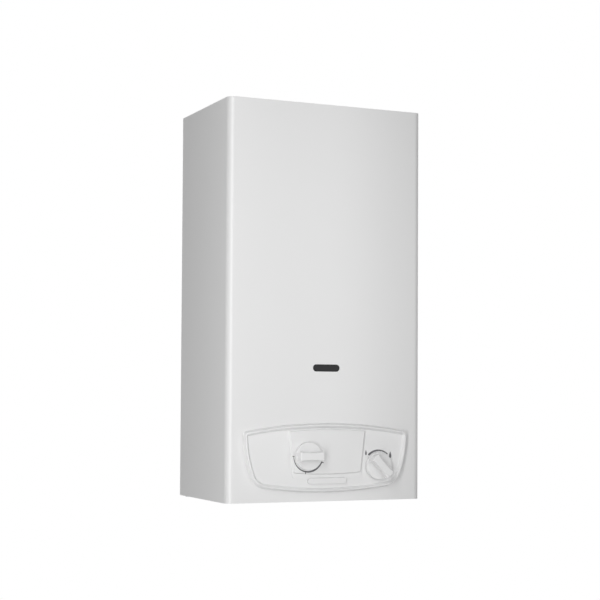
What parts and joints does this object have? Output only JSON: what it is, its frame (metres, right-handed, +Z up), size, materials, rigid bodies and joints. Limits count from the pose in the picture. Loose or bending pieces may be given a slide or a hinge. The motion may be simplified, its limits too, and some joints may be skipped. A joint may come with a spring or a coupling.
{
  "type": "gas water heater",
  "caption": "Wall-hung open-flue gas water heater: white casing, sight window, control console with temperature and gas knobs, finned copper heat exchanger, burner and valves.",
  "frame": {"origin": "centre of the pattern of wall screw holes, on the wall's face", "axes": "+X to the right seen from the front, +Y into the wall, +Z up; the front faces -Y"},
  "size_m": [0.31, 0.2202, 0.5882],
  "materials": {
    "white_enamel": "white baked enamel, satin",
    "zinc_plated_steel": "zinc plated steel",
    "galvanised_steel": "galvanised sheet steel",
    "aluminised_steel": "aluminised sheet steel, matt",
    "stainless_steel": "stainless steel, mill finish",
    "smoked_glass": "smoked, polished",
    "black_plastic": "black glass-filled nylon, fine grain",
    "grey_plastic": "grey moulded plastic, fine grain",
    "white_plastic": "white moulded plastic, satin",
    "yellow_brass": "hot-pressed brass, machined faces",
    "copper": "copper tube and sheet, drawn and brazed",
    "black_rubber": "black nitrile rubber, matt",
    "cast_aluminium": "die-cast aluminium, as cast",
    "glazed_porcelain": "white glazed insulator with a steel wire",
    "battery_jacket": "plain foil jacket",
    "silicone_sleeve": "silicone sleeved lead, matt"
  },
  "bodies": {
    "heater": {"back_plate": "galvanised_steel", "bare_tab": "white_plastic", "battery_box": "black_plastic", "battery_cell": "battery_jacket", "burner_blades": "stainless_steel", "burner_frame": "aluminised_steel", "casing": "white_enamel", "casing_screws": "zinc_plated_steel", "centre_fascia": "white_plastic", "chamber_jacket": "copper", "closing_spring": "stainless_steel", "cold_feed_pipe": "copper", "cold_water_spigot": "yellow_brass", "console_clips": "zinc_plated_steel", "control_box": "grey_plastic", "control_console": "white_plastic", "control_leads": "silicone_sleeve", "diaphragm": "black_rubber", "drain_plug": "yellow_brass", "draught_hood": "aluminised_steel", "electrode_plate": "stainless_steel", "feed_coil": "copper", "fin_block": "copper", "flame_sensor": "glazed_porcelain", "flue_collar": "aluminised_steel", "gas_inlet_spigot": "yellow_brass", "gas_manifold": "aluminised_steel", "gas_solenoid": "zinc_plated_steel", "gas_supply_pipe": "cast_aluminium", "gas_valve_body": "cast_aluminium", "gland_flange": "cast_aluminium", "hot_water_pipe": "copper", "hot_water_spigot": "yellow_brass", "injectors": "yellow_brass", "micro_switch": "black_plastic", "outlet_shelf": "zinc_plated_steel", "return_bends": "copper", "sensor_lead": "silicone_sleeve", "shelf_nut": "yellow_brass", "sight_window": "smoked_glass", "spark_electrode": "glazed_porcelain", "spark_lead": "silicone_sleeve", "support_brackets": "zinc_plated_steel", "thermostat_leads": "silicone_sleeve", "thermostats": "zinc_plated_steel", "union_nuts": "yellow_brass", "valve_pillars": "cast_aluminium", "valve_screws": "zinc_plated_steel", "water_valve_body": "yellow_brass", "water_valve_cover": "yellow_brass", "window_frame": "black_plastic"},
    "temperature_selector": {"temperature_knob": "white_plastic", "temperature_spindle": "yellow_brass"},
    "gas_control": {"gas_knob": "white_plastic", "gas_spindle": "yellow_brass"},
    "valve_rod": {"push_rod": "yellow_brass", "gas_valve_disc": "black_rubber"},
    "ignition_switch_lever": {"switch_lever": "stainless_steel"},
    "battery_lid": {"battery_lid": "black_plastic"}
  },
  "joints": [
    {"name": "temperature_selector_turn", "type": "hinge", "parent": "heater", "child": "temperature_selector", "pos_m": [-0.0315, -0.2102, -0.224], "axis": [0, -1, 0], "range_deg": [0, 158]},
    {"name": "gas_control_turn", "type": "hinge", "parent": "heater", "child": "gas_control", "pos_m": [0.084, -0.2062, -0.2395], "axis": [0, -1, 0], "range_deg": [-98, 0]},
    {"name": "rod_travel", "type": "slide", "parent": "heater", "child": "valve_rod", "axis": [1, 0, 0], "range_m": [0, 0.005], "stiffness_N_per_m": 800, "springref_m": -0.004, "deforming": ["closing_spring"]},
    {"name": "switch_lever_turn", "type": "hinge", "parent": "heater", "child": "ignition_switch_lever", "pos_m": [0.021, -0.105, -0.199], "axis": [0, -1, 0], "range_deg": [0, 16.5]},
    {"name": "battery_lid_swing", "type": "hinge", "parent": "heater", "child": "battery_lid", "pos_m": [0.1193, -0.004, -0.2843], "axis": [1, 0, 0], "range_deg": [0, 90]}
  ],
  "couplings": [
    {"joint": "switch_lever_turn", "follows": "rod_travel", "rad_per_m": 57.5}
  ]
}
